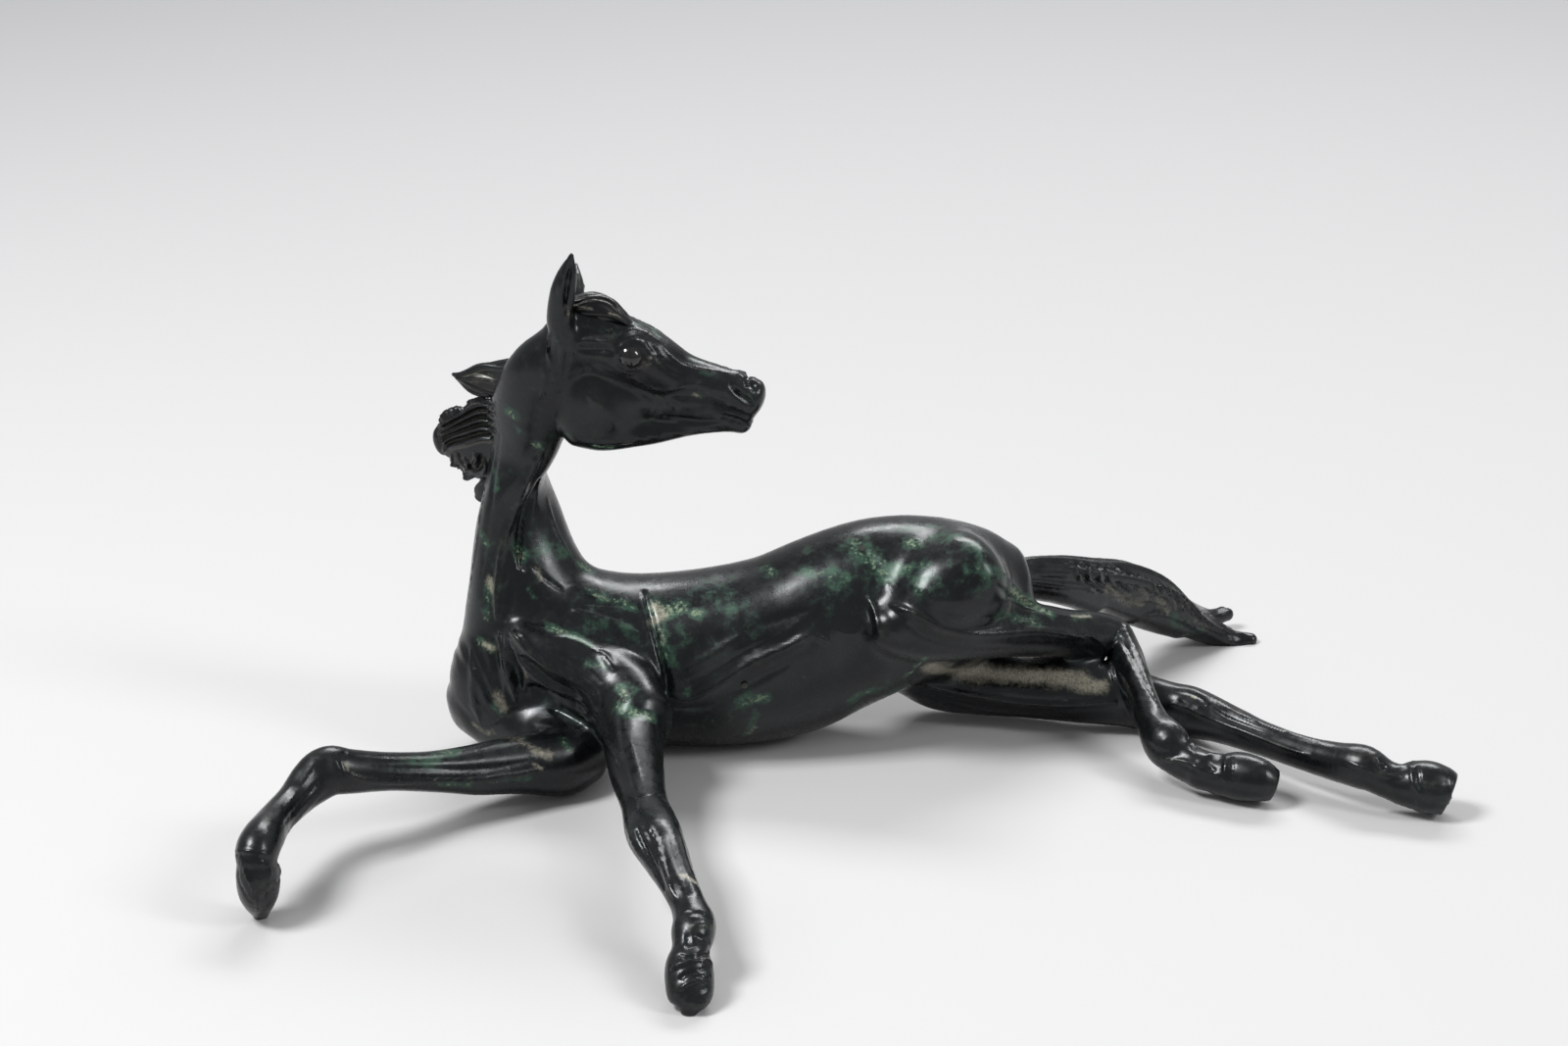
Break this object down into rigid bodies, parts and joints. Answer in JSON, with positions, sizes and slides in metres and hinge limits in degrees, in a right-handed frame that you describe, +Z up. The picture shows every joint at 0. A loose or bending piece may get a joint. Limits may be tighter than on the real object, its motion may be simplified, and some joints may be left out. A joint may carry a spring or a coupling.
{
  "type": "reclining horse statuette",
  "caption": "Reclining foal statuette in patinated bronze, head turned back over its body, legs and tail stretched out, free-standing on its belly.",
  "frame": {"origin": "centre of the footprint, at the level the statuette rests on", "axes": "+X along the barrel from the chest to the croup, +Z up, -Y towards the side the belly and left legs face"},
  "size_m": [0.4703, 0.3386, 0.2192],
  "materials": {
    "bronze": "dark patina with green and pale mineral bloom",
    "bronze_hair": "dark patina, chased strands rubbed lighter",
    "bronze_eye": "polished near-black patina",
    "raw_bronze": "filed bronze, dulled"
  },
  "bodies": {
    "root": {"trunk_casting": "bronze", "neck_casting": "bronze", "head_casting": "bronze", "ear_right": "bronze", "ear_left": "bronze", "eye_right": "bronze_eye", "eye_left": "bronze_eye", "forelock": "bronze_hair", "mane_upper_tuft": "bronze_hair", "mane_main_lock": "bronze_hair", "mane_lower_lock": "bronze_hair", "tail_casting": "bronze_hair", "foreleg_right": "bronze", "foreleg_left": "bronze", "hind_leg_left": "bronze", "hind_leg_right": "bronze", "neck_sleeve": "raw_bronze", "head_sleeve": "raw_bronze", "joint_pins": "raw_bronze", "core_pin_plugs": "raw_bronze", "belly_plug": "raw_bronze", "belly_patch": "bronze"}
  },
  "joints": []
}
